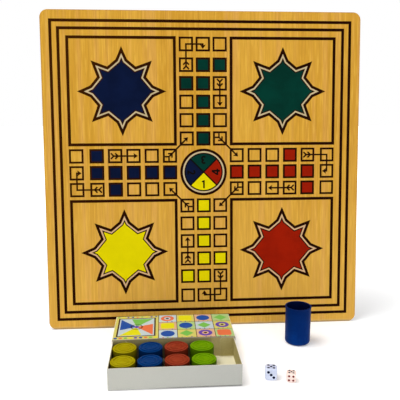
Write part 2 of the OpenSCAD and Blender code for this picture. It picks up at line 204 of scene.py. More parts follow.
class Finish:
    """One material. Its patterns read Object coordinates, in metres."""

    def __init__(self, name, rough, specular):
        self.material = bpy.data.materials.new(name)
        self.material.use_nodes = True
        self.tree = self.material.node_tree
        self.tree.nodes.clear()
        self.shader = self.add("ShaderNodeBsdfPrincipled")
        self.shader.inputs["Roughness"].default_value = rough
        self.shader.inputs["Specular IOR Level"].default_value = specular
        self.out = self.add("ShaderNodeOutputMaterial")
        self.link(self.shader.outputs["BSDF"], self.out.inputs["Surface"])
        self.object = self.add("ShaderNodeTexCoord").outputs["Object"]

    def add(self, kind, **values):
        node = self.tree.nodes.new(kind)
        for key, value in values.items():
            setattr(node, key, value)
        return node

    def link(self, source, target):
        self.tree.links.new(source, target)

    def place(self, scale=(1, 1, 1), rotation=(0, 0, 0), location=(0, 0, 0)):
        """Object coordinates scaled, then turned, then moved."""
        node = self.add("ShaderNodeMapping", vector_type="POINT")
        node.inputs["Location"].default_value = location
        node.inputs["Rotation"].default_value = rotation
        node.inputs["Scale"].default_value = scale
        self.link(self.object, node.inputs["Vector"])
        return node.outputs["Vector"]

    def axes(self, vector):
        """The X, Y and Z of a vector."""
        node = self.add("ShaderNodeSeparateXYZ")
        self.link(vector, node.inputs[0])
        return node.outputs["X"], node.outputs["Y"], node.outputs["Z"]

    def length(self, vector):
        node = self.add("ShaderNodeVectorMath", operation="LENGTH")
        self.link(vector, node.inputs[0])
        return node.outputs["Value"]

    def stretch(self, vector, scale):
        node = self.add("ShaderNodeVectorMath", operation="MULTIPLY")
        self.link(vector, node.inputs[0])
        node.inputs[1].default_value = scale
        return node.outputs["Vector"]

    def noise(self, vector, scale=1.0, detail=3.0, rough=0.5, wander=0.0):
        node = self.add("ShaderNodeTexNoise")
        self.link(vector, node.inputs["Vector"])
        node.inputs["Scale"].default_value = scale
        node.inputs["Detail"].default_value = detail
        node.inputs["Roughness"].default_value = rough
        node.inputs["Distortion"].default_value = wander
        return node.outputs["Fac"]

    def band(self, value, low, high, to_low=0.0, to_high=1.0):
        """A smooth step from to_low to to_high, where the value goes from low to high."""
        node = self.add("ShaderNodeMapRange", interpolation_type="SMOOTHSTEP")
        self.link(value, node.inputs["Value"])
        node.inputs["From Min"].default_value = low
        node.inputs["From Max"].default_value = high
        node.inputs["To Min"].default_value = to_low
        node.inputs["To Max"].default_value = to_high
        return node.outputs["Result"]

    def calc(self, a, b, operation="ADD"):
        """A sum, or another operation, on two outputs or numbers."""
        node = self.add("ShaderNodeMath", operation=operation)
        for socket, value in zip(node.inputs, (a, b)):
            if isinstance(value, (int, float)):
                socket.default_value = value
            else:
                self.link(value, socket)
        return node.outputs["Value"]

    def blend(self, share, a, b):
        """Colour a, with a share of colour b laid over it. Each is an output or a tone."""
        node = self.add("ShaderNodeMix", data_type="RGBA", blend_type="MIX")
        self.link(share, node.inputs["Factor"])
        # a colour mix takes its two colours in sockets 6 and 7, and gives its result in output 2
        for socket, value in ((node.inputs[6], a), (node.inputs[7], b)):
            if isinstance(value, tuple):
                socket.default_value = value
            else:
                self.link(value, socket)
        return node.outputs[2]

    def colour(self, value):
        self.link(value, self.shader.inputs["Base Color"])

    def roughness(self, value):
        self.link(value, self.shader.inputs["Roughness"])

    def relief(self, height, depth, strength):
        """Bumps of a depth, in metres, as high as the pattern is bright."""
        node = self.add("ShaderNodeBump")
        node.inputs["Strength"].default_value = strength
        node.inputs["Distance"].default_value = depth
        self.link(height, node.inputs["Height"])
        self.link(node.outputs["Normal"], self.shader.inputs["Normal"])
        return self


def tone(code, lift=1.0):
    """A colour written as in a paint chart (sRGB) as linear light, made brighter by lift."""
    v = np.array([int(code[i : i + 2], 16) / 255 for i in (1, 3, 5)])
    v = np.where(v <= 0.04045, v / 12.92, ((v + 0.055) / 1.055) ** 2.4) * lift
    return (*(float(x) for x in np.clip(v, 0, 1)), 1.0)


def wood_print():
    """Printed oak-like grain running up the board: soft bands, rosy streaks, short bright and
    dark flecks, fine dark lines and pores, each a noise drawn out along the board. The sheet is
    rubbed along its rim, lightened a little towards its foot with painted light, and scuffed in its
    last few millimetres: pale, and then greyish with painted shadow at the edge that meets the
    table."""
    f = Finish("wood_print", rough=0.55, specular=0.04)
    flat = f.place(rotation=(LEAN, 0, 0))
    broad = f.noise(f.stretch(flat, (24, 3, 1.3)), detail=2.5, wander=0.3)
    rosy = f.noise(f.stretch(flat, (95, 5, 3.0)), detail=2.5, wander=0.2)
    streak = f.noise(f.stretch(flat, (240, 8, 3.2)), detail=3.0, rough=0.6, wander=0.15)
    line = f.noise(f.stretch(flat, (620, 20, 8.0)), detail=2.0, rough=0.6)
    fleck = f.noise(f.stretch(flat, (330, 25, 20.0)), detail=2.0, rough=0.6, wander=0.1)
    pore = f.noise(f.stretch(flat, (1500, 40, 60.0)), detail=1.0)
    base = f.blend(f.band(broad, 0.36, 0.64), tone("#d19a30"), tone("#daa53c"))
    base = f.blend(f.band(rosy, 0.46, 0.70, 0, 0.42), base, tone("#dca35c"))
    base = f.blend(f.band(streak, 0.48, 0.72, 0, 0.32), base, tone("#c08828"))
    base = f.blend(f.band(fleck, 0.5, 0.7, 0, 0.42), base, tone("#efc050"))
    base = f.blend(f.band(fleck, 0.3, 0.5, 0.3, 0), base, tone("#b98628"))
    base = f.blend(f.band(line, 0.52, 0.74, 0, 0.32), base, tone("#b07824"))
    base = f.blend(f.band(pore, 0.66, 0.74, 0, 0.25), base, tone("#7a4a14"))
    x, _, z = f.axes(flat)
    across = f.calc(x, 0.0, "ABSOLUTE")
    along = f.calc(f.calc(z, SHEET_MIDDLE, "SUBTRACT"), 0.0, "ABSOLUTE")
    rim = f.calc(across, along, "MAXIMUM")
    rim = f.calc(rim, f.calc(f.noise(flat, 90, 3), 2.2 * MM, "MULTIPLY"))
    rub_and_shade = f.band(rim, BOARD_HALF - 0.6 * MM, BOARD_HALF + 1.2 * MM, 0, 0.55)
    base = f.blend(rub_and_shade, base, tone("#a57a48"))
    # painted light: the sheet is made a little lighter towards its foot
    base = f.blend(f.band(z, 20 * MM, 340 * MM, 0.2, 0), base, tone("#f4c96e"))
    height = f.calc(z, f.calc(f.noise(flat, 60, 3), 3 * MM, "MULTIPLY"))
    scuffed = f.band(height, SHEET_FOOT + 1.7 * MM, SHEET_FOOT + 6.7 * MM, 0.6, 0)
    base = f.blend(scuffed, base, tone("#dcbd90"))
    # painted shadow: a greyish band where the sheet meets the table
    foot_shadow = f.band(height, SHEET_FOOT + 2 * MM, SHEET_FOOT + 5 * MM, 0.75, 0)
    base = f.blend(foot_shadow, base, tone("#998354"))
    f.colour(base)
    f.roughness(f.band(broad, 0.3, 0.7, 0.5, 0.62))
    grain = f.calc(f.noise(flat, 700, 2), f.calc(line, 0.6, "MULTIPLY"))
    return f.relief(grain, 0.04 * MM, 0.5).material


def ink(name, code, spread=0.12, rough=0.5, worn=None, low=None, inmost=None):
    """Screen-printed ink: one colour with a faint cloudiness and a dry, grainy gloss. It can be
    rubbed to a browner tone along the board's left side and round its upper left corner, and it
    can have another tone on the board's lower third, or within the ring in the middle."""
    f = Finish(name, rough=rough, specular=0.02)
    cloud = f.noise(f.object, 26, 4, 0.6)
    base = f.blend(f.band(cloud, 0.3, 0.7), tone(code, 1 - spread), tone(code, 1 + spread))
    x, _, z = f.axes(f.object)
    if worn:
        left = f.band(x, -250 * MM, -60 * MM, 0.85, 0)
        left = f.calc(left, f.band(z, 100 * MM, 280 * MM, 0.25, 1), "MULTIPLY")
        top = f.band(z, 280 * MM, 500 * MM, 0, 0.6)
        top = f.calc(top, f.band(x, -120 * MM, 80 * MM, 1, 0), "MULTIPLY")
        base = f.blend(f.calc(f.calc(left, top), 1.0, "MINIMUM"), base, tone(worn))
    if inmost:
        middle = (-PRINT_LEFT, 0, BOARD_HALF * math.cos(LEAN))
        reach = f.length(f.place(scale=(1, 0, 1), location=[-v for v in middle]))
        base = f.blend(f.band(reach, 29 * MM, 31 * MM, 1, 0), base, tone(inmost))
    if low:
        base = f.blend(f.band(z, 150 * MM, 230 * MM, 1, 0), base, tone(low))
    f.colour(base)
    return f.relief(f.noise(f.object, 1500, 2), 0.03 * MM, 0.4).material


def hardboard():
    """Pressed brown fibre: matted flecks, and the woven mesh that the press leaves on the back."""
    f = Finish("hardboard", rough=0.85, specular=0.15)
    flat = f.place(rotation=(LEAN, 0, 0))
    fleck = f.noise(flat, 420, 5, 0.7)
    cloud = f.noise(flat, 11, 3)
    base = f.blend(f.band(fleck, 0.35, 0.65), tone("#66442a"), tone("#85603c"))
    f.colour(f.blend(f.band(cloud, 0.3, 0.75, 0, 0.2), base, tone("#8f6a47")))
    x, _, z = f.axes(flat)
    turns = 2 * math.pi / (1.9 * MM)
    across = f.calc(f.calc(x, turns, "MULTIPLY"), 0.0, "SINE")
    along = f.calc(f.calc(z, turns, "MULTIPLY"), 0.0, "SINE")
    weave = f.calc(f.calc(across, along, "MULTIPLY"), f.calc(fleck, 0.8, "MULTIPLY"))
    return f.relief(weave, 0.12 * MM, 0.7).material


# card fibres: cells of their noise to a metre along X, Y and Z, and their depth
FIBRES, FIBRE_DEPTH = (900, 900, 350), 0.04 * MM


def card(name, code, dark, rough=0.7, specular=0.08):
    """Folding card: faint fibres, a little cloud and soft scuffs."""
    f = Finish(name, rough=rough, specular=specular)
    fibres = f.noise(f.stretch(f.object, FIBRES), 1, 4, 0.65)
    scuff = f.noise(f.object, 34, 4, 0.6, 0.6)
    base = f.blend(f.band(fibres, 0.35, 0.7, 0, 0.5), tone(code), tone(dark))
    f.colour(f.blend(f.band(scuff, 0.55, 0.75, 0, 0.35), base, tone(dark)))
    return f.relief(fibres, FIBRE_DEPTH, 0.4).material


def tray_board(name, code, dark, contact_shadow):
    """The outside of the tray: pale grey board, a shade darker to the right, with faint fibres,
    and a painted shadow along the fold at its foot, where it slides over the table."""
    f = Finish(name, rough=0.5, specular=0.1)
    fibres = f.noise(f.stretch(f.object, FIBRES), 1, 4, 0.65)
    x, _, z = f.axes(f.object)
    drift = f.calc(f.band(x, -140 * MM, 30 * MM, 0, 0.75), f.band(fibres, 0.35, 0.7, 0, 0.25))
    base = f.blend(drift, tone(code), tone(dark))
    # painted shadow along the fold at the foot, on the right part of the tray
    low = f.band(z, 1.6 * MM, 2.6 * MM, 0.85, 0)
    right = f.band(x, -100 * MM, -30 * MM)
    f.colour(f.blend(f.calc(low, right, "MULTIPLY"), base, tone(contact_shadow)))
    return f.relief(fibres, FIBRE_DEPTH, 0.4).material


def lining(name, code, dark, floor, rub_and_shade):
    """The inside of the tray: grey-yellow board on the walls, cleaner on the floor, where the
    paper lining lies. Where the stacks stand, left of x = 0, the floor is darkened with painted
    shade, and the walls more and more towards the floor. The change from wall to floor is at the
    fold, 2 to 3 mm above the table."""
    f = Finish(name, rough=0.8, specular=0.04)
    fibres = f.noise(f.stretch(f.object, FIBRES), 1, 4, 0.65)
    cloud = f.noise(f.object, 30, 4, 0.6, 0.6)
    wall = f.blend(f.band(fibres, 0.35, 0.7, 0, 0.5), tone(code), tone(dark))
    base = f.blend(f.band(cloud, 0.5, 0.75, 0, 0.4), tone(floor), tone(code))
    x, _, z = f.axes(f.object)
    # painted shade where the stacks stand: the floor left of x = 0, and the walls more towards the
    # floor
    edge = f.calc(x, f.calc(cloud, 4 * MM, "MULTIPLY"))
    stood = f.band(edge, -1 * MM, 4 * MM, 1, 0)
    base = f.blend(f.calc(stood, 0.9, "MULTIPLY"), base, tone(rub_and_shade))
    wall_shade = f.calc(stood, f.band(z, 12 * MM, 29 * MM, 0.85, 0.3), "MULTIPLY")
    wall = f.blend(wall_shade, wall, tone(rub_and_shade))
    f.colour(f.blend(f.band(z, 2 * MM, 3 * MM), base, wall))
    return f.relief(fibres, FIBRE_DEPTH, 0.4).material


def moulded(name, code, deep, rough=0.36, sides=1.0, mouth=0.0):
    """Moulded plastic: a swirl of two tones, handling scratches in the gloss and fine grain.
    The sides can be darkened with painted shade, and the tone can deepen with painted shade up to a
    mouth's height."""
    f = Finish(name, rough=rough, specular=0.03)
    swirl = f.noise(f.object, 60, 4, 0.55, 1.2)
    base = f.blend(f.band(swirl, 0.32, 0.68), tone(code), tone(deep))
    # painted shade: faces that stand upright are darkened towards the deep tone times sides
    if sides < 1:
        _, _, level = f.axes(f.add("ShaderNodeNewGeometry").outputs["Normal"])
        side_shade = f.band(f.calc(level, 0.0, "ABSOLUTE"), 0.25, 0.75, 1, 0)
        base = f.blend(side_shade, base, tone(deep, sides))
    # painted shade: the tone deepens up to the mouth's height
    if mouth:
        _, _, height = f.axes(f.object)
        base = f.blend(f.band(height, 0, mouth, 0, 0.8), base, tone(deep, 0.6))
    f.colour(base)
    scratch = f.noise(f.stretch(f.object, (1600, 160, 160)), 1, 2)
    f.roughness(f.band(scratch, 0.45, 0.7, rough, rough + 0.18))
    return f.relief(f.noise(f.object, 1100, 3), 0.03 * MM, 0.35).material


def bone_white(name, code, deep):
    """Die plastic: milky, glossy, a little see-through at the edges."""
    f = Finish(name, rough=0.22, specular=0.3)
    f.shader.inputs["Subsurface Weight"].default_value = 0.15
    f.shader.inputs["Subsurface Scale"].default_value = 2 * MM
    f.shader.inputs["Subsurface Radius"].default_value = (1.0, 0.9, 0.8)
    cloud = f.noise(f.object, 130, 3)
    f.colour(f.blend(f.band(cloud, 0.35, 0.65), tone(code), tone(deep)))
    return f.relief(f.noise(f.object, 600, 2), 0.02 * MM, 0.3).material


WOOD = wood_print()
INK = {
    "print_black": ink("ink_black", "#210900", rough=0.55, worn="#391a00", inmost="#0c0805"),
    "print_green": ink("ink_green", "#003228", 0.2),
    "print_blue": ink("ink_blue", "#071332", 0.2),
    "print_yellow": ink("ink_yellow", "#e3d400", 0.04),
    "print_red": ink("ink_red", "#951902", 0.12),
}
PALE_LINE = ink("pale_line", "#c6b28a", 0.06, rough=0.55, low="#d8b084")
HARDBOARD = hardboard()
SLEEVE_GROUND = card("sleeve_ground", "#efecda", "#e4e0c8", rough=0.42, specular=0.12)
SLEEVE_INSIDE = card("sleeve_inside", "#bdb39a", "#a2977c")
CARD_EDGE = card("card_edge", "#d2c9b2", "#a99d80")
# the cut edges: the card's edge tone, made lighter as a painted highlight along the tray's rim
TRAY_EDGE_HIGHLIGHT = card("tray_edge_highlight", "#e6e2d2", "#d6d1bd")
# its last tone is a painted shadow along the fold at the foot
TRAY_OUTSIDE = tray_board("tray_outside", "#c5c5bc", "#b9bab4", "#63635e")
# its last tone is painted shade where the stacks stand
TRAY_INSIDE = lining("tray_inside", "#bdb07a", "#ab9e68", "#efe8c8", "#4a4636")
PRINT_TONES = {
    "line": "#3a1508",
    "lemon": "#dcd61c",
    "leaf": "#74b852",
    "sea": "#164c9f",
    "coral": "#de7048",
    "plum": "#6343a6",
    "mist": "#bccbd0",
    "straw": "#cfc76c",
    "mint": "#aac684",
    "blush": "#d6ae8a",
}
PRINT = {
    key: card("sleeve_" + key, code, code, rough=0.4)
    for key, code in PRINT_TONES.items()
}
PLASTIC = {
    # sides = 0.62 darkens the counters' skirts with painted shade
    "yellow": moulded("counter_yellow", "#a69a0a", "#978a06", sides=0.62),
    "blue": moulded("counter_blue", "#003876", "#003068", sides=0.62),
    "red": moulded("counter_red", "#943823", "#862f1b", sides=0.62),
    "green": moulded("counter_green", "#6a9704", "#5e8a02", sides=0.62),
}
# mouth darkens the cup towards its rim with painted shade
CUP = moulded("cup_plastic", "#003078", "#00286a", mouth=60 * MM)
# a darker copy of the plastic, as painted shade on the cup's inside
CUP_INSIDE_SHADE = moulded("cup_inside_shade", "#03113a", "#020c2c", rough=0.4)
DIE_ONE = bone_white("die_blue_white", "#d8dff5", "#cdd6ee")
DIE_TWO = bone_white("die_pink_white", "#ffebe3", "#fbdcd1")
PIP_NAVY = moulded("pip_navy", "#0a1034", "#060a22")
PIP_RED = moulded("pip_red", "#8a2c2a", "#742220")


def wear(node, material):
    """Puts one material on a CAD node's own mesh."""
    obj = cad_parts[node]
    obj.data.materials.clear()
    obj.data.materials.append(material)


wear("board_core", HARDBOARD)
wear("face_sheet", WOOD)
for node, material in INK.items():
    wear(node, material)


# The board's pale lines

HOME_MIDDLE = 126.65 * MM
STAR_REACH = 68.95 * MM
STAR_SHARE = np.array([(0, 1), (0.128, 0.708), (0.318, 0.55), (0.684, 0.684)])
STAR_LINE_W, STAR_BARE_W = 4.3 * MM, 2.4 * MM
RING_BARE_R, RING_BARE_W = 33.2 * MM, 2.5 * MM
LINE_LAP = 0.4 * MM
LINE_LIFT = 0.05 * MM


def on_board(flat):
    """Points (x, v) drawn from the middle of the print, stood on the board's leaning face: P =
    foot + (x - left, (v + half) sin lean - lift cos lean, (v + half) cos lean + lift sin lean)."""
    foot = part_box("face_sheet")[0]
    x, up = flat[..., 0] - PRINT_LEFT, flat[..., 1] + BOARD_HALF
    c, s = math.cos(LEAN), math.sin(LEAN)
    return np.stack([x, foot[1] + up * s - LINE_LIFT * c, foot[2] + up * c + LINE_LIFT * s], -1)


def star_line(inset):
    """The eight-pointed star run clockwise, its sides moved in by inset: with u and v the right
    hand sides of the two edges at a corner p, the corner goes to p + (u + v) inset / (1 + u.v)."""
    quarter = np.vstack([STAR_SHARE, STAR_SHARE[2:0:-1, ::-1]]) * STAR_REACH
    right_turn = np.array([[0, -1], [1, 0]])
    p = np.concatenate([quarter @ np.linalg.matrix_power(right_turn, k) for k in range(4)])
    edge = np.roll(p, -1, axis=0) - p
    side = np.stack([edge[:, 1], -edge[:, 0]], -1) / np.linalg.norm(edge, axis=1, keepdims=True)
    before = np.roll(side, 1, axis=0)
    line = p + (before + side) * inset / (1 + (before * side).sum(1, keepdims=True))
    return np.vstack([line, line[:1]])


def pale_lines():
    """The cream line between the two dark lines of each star and of the centre's ring. It laps
    a little under the printed lines on both sides, whose layers are thicker."""
    skin = Skin()
    outer, inner = STAR_LINE_W - LINE_LAP, STAR_LINE_W + STAR_BARE_W + LINE_LAP
    star = np.stack([star_line(outer), star_line(inner)])
    for side_x in (-1, 1):
        for side_y in (-1, 1):
            skin.grid(on_board(star + np.array([side_x, side_y]) * HOME_MIDDLE))
    outer, inner = RING_BARE_R + LINE_LAP, RING_BARE_R - RING_BARE_W - LINE_LAP
    t = full_turn(96)
    circle = np.stack([np.sin(t), np.cos(t)], -1)
    skin.grid(on_board(np.stack([circle * outer, circle * inner])))
    skin.piece("pale_lines", [PALE_LINE], "board", slot="wood_print")


pale_lines()


# The box

CARD_T = 0.8 * MM
sleeve_low, sleeve_high = (np.array(v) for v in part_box("box_sleeve"))
tray_low, tray_high = (np.array(v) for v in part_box("box_tray"))
SLEEVE_CROWN = 0.45 * MM
# steps along the sleeve's floor, right wall, top and left wall
WALL_STEPS = (58, 10, 58, 10)
# how far each layer of the lid's print lies above the card
TILE_LIFT, PANEL_LIFT, SHAPE_LIFT = 0.04 * MM, 0.06 * MM, 0.08 * MM
WEDGE_LIFT, FRAME_LIFT, HUB_LIFT = 0.09 * MM, 0.1 * MM, 0.12 * MM


def sleeve_swell(x):
    """How far the sleeve's top has sprung up at x: crown * (1 - s^2)^2, s from -1 to 1 across."""
    middle = (sleeve_low[0] + sleeve_high[0]) / 2
    s = (x - middle) / ((sleeve_high[0] - sleeve_low[0]) / 2)
    return SLEEVE_CROWN * np.clip(1 - s * s, 0, 1) ** 2


def tube_ring(inset, radius):
    """The sleeve's cross-section in x and z, moved in by inset, with its folds rounded. Every
    ring has the same number of points on each fold and wall, so that two rings can be joined.
    The swell grows with the cube of the height, so that the floor stays flat."""
    x0, z0 = sleeve_low[0] + inset, sleeve_low[2] + inset
    x1, z1 = sleeve_high[0] - inset, sleeve_high[2] - inset
    corners = rounded([(x0, z0), (x1, z0), (x1, z1), (x0, z1)], radius, closed=True)
    folds = corners.reshape(4, -1, 2)
    parts = []
    for k, steps in enumerate(WALL_STEPS):
        share = np.linspace(0, 1, steps, endpoint=False)[1:, None]
        parts += [folds[k], folds[k][-1] + (folds[(k + 1) % 4][0] - folds[k][-1]) * share]
    ring = np.vstack(parts + [folds[0][:1]])
    lift = np.clip((ring[:, 1] - sleeve_low[2]) / (sleeve_high[2] - sleeve_low[2]), 0, 1) ** 3
    ring[:, 1] += lift * sleeve_swell(ring[:, 0])
    return ring


def carried(ring, y):
    """A ring in x and z carried along the stations y: P(i, j) = (x_i, y_j, z_i)."""
    return np.stack([ring[:, :1] + 0 * y, 0 * ring[:, :1] + y, ring[:, 1:] + 0 * y], -1)


def sleeve():
    """The tube's outer and inner rings carried from its front to its back, its two cut ends
    closed between the rings, and the glue flap inside the right wall: a closed ring in x and z
    carried along y, drawn in to its middle at both ends, where the flap's corners are cut."""
    y = np.linspace(sleeve_low[1], sleeve_high[1], 24)
    outer = carried(tube_ring(0, 1.2 * MM), y)
    inner = carried(tube_ring(CARD_T, 0.4 * MM), y)
    skin = Skin()
    skin.grid(outer, 0, flip=True)
    skin.grid(inner, 1)
    for end, flip in ((0, True), (-1, False)):
        skin.grid(np.stack([outer[:, end], inner[:, end]]), 2, flip=flip)
    root, face = sleeve_high[0] - 0.75 * CARD_T, sleeve_high[0] - 2 * CARD_T
    z0, z1 = sleeve_low[2] + 2 * MM, sleeve_high[2] - 2 * MM
    corners = [(root, z0), (face, z0), (face, z1), (root, z1)]
    flap = rounded(corners, np.array([0, 0.3, 0.3, 0]) * MM, steps=3)
    flap = np.vstack([flap, flap[:1]])
    start, end, cut = sleeve_low[1] + 0.1 * MM, sleeve_high[1] - 0.1 * MM, 3 * MM
    y = np.array([start, start, start + cut, end - cut, end, end])
    cut_height = 1 - 2 * cut / (z1 - z0)
    wide = np.array([0, 1, 1, 1, 1, 0])
    tall = np.array([0, cut_height, 1, 1, cut_height, 0])
    middle_x, middle_z = (root + face) / 2, (z0 + z1) / 2
    x = middle_x + (flap[:, :1] - middle_x) * wide
    z = middle_z + (flap[:, 1:] - middle_z) * tall
    skin.grid(np.stack([x, y + 0 * x, z], -1), 1)
    cards = [SLEEVE_GROUND, SLEEVE_INSIDE, CARD_EDGE]
    skin.piece("sleeve", cards, "sleeve", ["box_sleeve"], "sleeve_card")


def on_top(x, y, lift):
    """Points of a print laid on the sleeve's top, lift above the card."""
    return np.stack([x, y, sleeve_high[2] + sleeve_swell(x) + lift], -1)


def on_side(side):
    """Lays a print on an end wall of the sleeve, seen from outside: along its depth and up."""

    def lay(along, up, lift):
        x = sleeve_high[0] + lift if side > 0 else sleeve_low[0] - lift
        return np.stack([x + 0 * up, side * along, up], -1)

    return lay


def spot(x, y, half, power=2.0, hole=0.0, lift=SHAPE_LIFT, lay=on_top):
    """A flat patch within |x|^p + |y|^p = half^p, from its middle, or from its hole, out: a disc
    at p = 2, a soft square at p = 6, a lozenge at p = 1."""
    a = full_turn(48)
    reach = (np.abs(np.cos(a)) ** power + np.abs(np.sin(a)) ** power) ** (-1 / power)
    share = np.linspace(hole, 1, 3)[:, None]
    return lay(x + half * share * reach * np.cos(a), y + half * share * reach * np.sin(a), lift)


def wedge(a, b, c, lift):
    """A triangle filled from corner a to the far side bc: P = a + u (b - a) + u v (c - b)."""
    a, b, c = (np.array(p, float) for p in (a, b, c))
    u = np.linspace(0, 1, 9)[:, None, None]
    v = np.linspace(0, 1, 9)[None, :, None]
    p = a + u * (b - a) + u * v * (c - b)
    return on_top(p[..., 0], p[..., 1], lift)


def strip(x0, x1, y0, y1, lift=TILE_LIFT, lay=on_top):
    """A rectangle of print, laid over the crown of the card in steps of less than 3 mm."""
    stations = int(abs(x1 - x0) / (3 * MM)) + 2
    x, y = np.meshgrid(np.linspace(x0, x1, stations), (y0, y1), indexing="ij")
    return lay(x, y, lift)


def sleeve_print():
    """A plain pattern that covers the lid: a lined panel with a pinwheel of four wedges at the
    left, and a patchwork of pale tiles, each with a disc, a soft square, a lozenge or a ring."""
    layers = {key: Skin() for key in PRINT}
    x0, x1 = sleeve_low[0] + 0.9 * MM, sleeve_high[0] - 0.9 * MM
    y0, y1 = sleeve_low[1] + 0.1 * MM, sleeve_high[1] - 0.1 * MM
    panel_w = 64 * MM
    columns, rows, spots = 4, 3, 9
    step_x, step_y = (x1 - x0 - panel_w) / columns, (y1 - y0) / rows
    pale = ["mist", "straw", "blush", "mint"]
    strong = ["sea", "coral", "leaf", "lemon", "plum"]
    shapes = ((2.0, 0.0), (6.0, 0.0), (2.0, 0.5), (1.0, 0.0))
    layers["straw"].grid(strip(x0, x0 + panel_w, y0, y1))
    # the panel: its ground, its frame, the pinwheel and its hub, and a row of spots above and below
    px0, px1, py0, py1 = x0 + 4 * MM, x0 + panel_w - 4 * MM, y0 + 9 * MM, y1 - 8 * MM
    layers["mist"].grid(strip(px0, px1, py0, py1, PANEL_LIFT))
    frame_w = 2.2 * MM
    layers["line"].grid(strip(px0, px1, py0, py0 + frame_w, FRAME_LIFT))
    layers["line"].grid(strip(px0, px1, py1 - frame_w, py1, FRAME_LIFT))
    layers["line"].grid(strip(px0, px0 + frame_w, py0, py1, FRAME_LIFT))
    layers["line"].grid(strip(px1 - frame_w, px1, py0, py1, FRAME_LIFT))
    mx, my = (px0 + px1) / 2, (py0 + py1) / 2
    hx, hy = (px1 - px0) / 2 - 4 * MM, (py1 - py0) / 2 - 4 * MM
    square = np.array([(-1, -1), (1, -1), (1, 1), (-1, 1)]) * (hx, hy) + (mx, my)
    for i, key in enumerate(("lemon", "coral", "leaf", "sea")):
        a, b = square[i], square[(i + 1) % 4]
        layers[key].grid(wedge((mx, my), a, (a + 2 * b) / 3, WEDGE_LIFT))
    layers["line"].grid(spot(mx, my, 9 * MM, 2.0, 0.82, HUB_LIFT))
    layers["plum"].grid(spot(mx, my, 5 * MM, 1.0, 0.0, HUB_LIFT))
    for i in range(spots):
        x = x0 + panel_w * (i + 0.5) / spots
        layers[strong[i % 5]].grid(spot(x, y0 + 4.5 * MM, 2.6 * MM))
        layers[strong[(i + 2) % 5]].grid(spot(x, y1 - 4 * MM, 2.4 * MM, 1.0))
    # the patchwork: each tile, its shape, its two lines and three dots
    line_w = 0.9 * MM
    for r in range(rows):
        for c in range(columns):
            left, low = x0 + panel_w + c * step_x, y0 + r * step_y
            x, y = left + step_x / 2, low + step_y / 2 + 1 * MM
            layers[pale[(c + 2 * r) % 4]].grid(strip(left, left + step_x, low, low + step_y))
            power, hole = shapes[(c * 3 + r) % 4]
            layers[strong[(c * 2 + r * 3) % 5]].grid(spot(x, y, 10 * MM, power, hole))
            layers["line"].grid(strip(left, left + line_w, low, low + step_y, PANEL_LIFT))
            layers["line"].grid(strip(left, left + step_x, low, low + line_w, PANEL_LIFT))
            if hole:
                layers["line"].grid(spot(x, y, 2.4 * MM))
            for k in range(3):
                dot = spot(left + step_x * (0.25 + 0.25 * k), low + 2.2 * MM, 1.1 * MM)
                layers[strong[(c + r + k + 1) % 5]].grid(dot)
    # the end walls: a row of tiles with discs, between the folds
    z0, z1 = sleeve_low[2] + 1.4 * MM, sleeve_high[2] - 1.4 * MM
    for side in (-1, 1):
        lay = on_side(side)
        ends = sorted((side * y0, side * y1))
        width = (ends[1] - ends[0]) / 4
        for c in range(4):
            left = ends[0] + c * width
            layers[pale[(c + 1) % 4]].grid(strip(left, left + width, z0, z1, lay=lay))
            disc = spot(left + width / 2, (z0 + z1) / 2, 7.5 * MM, lay=lay)
            layers[strong[(c * 2 + side) % 5]].grid(disc)
    for key, skin in layers.items():
        skin.piece("sleeve_print_" + key, [PRINT[key]], "sleeve", slot="sleeve_card")


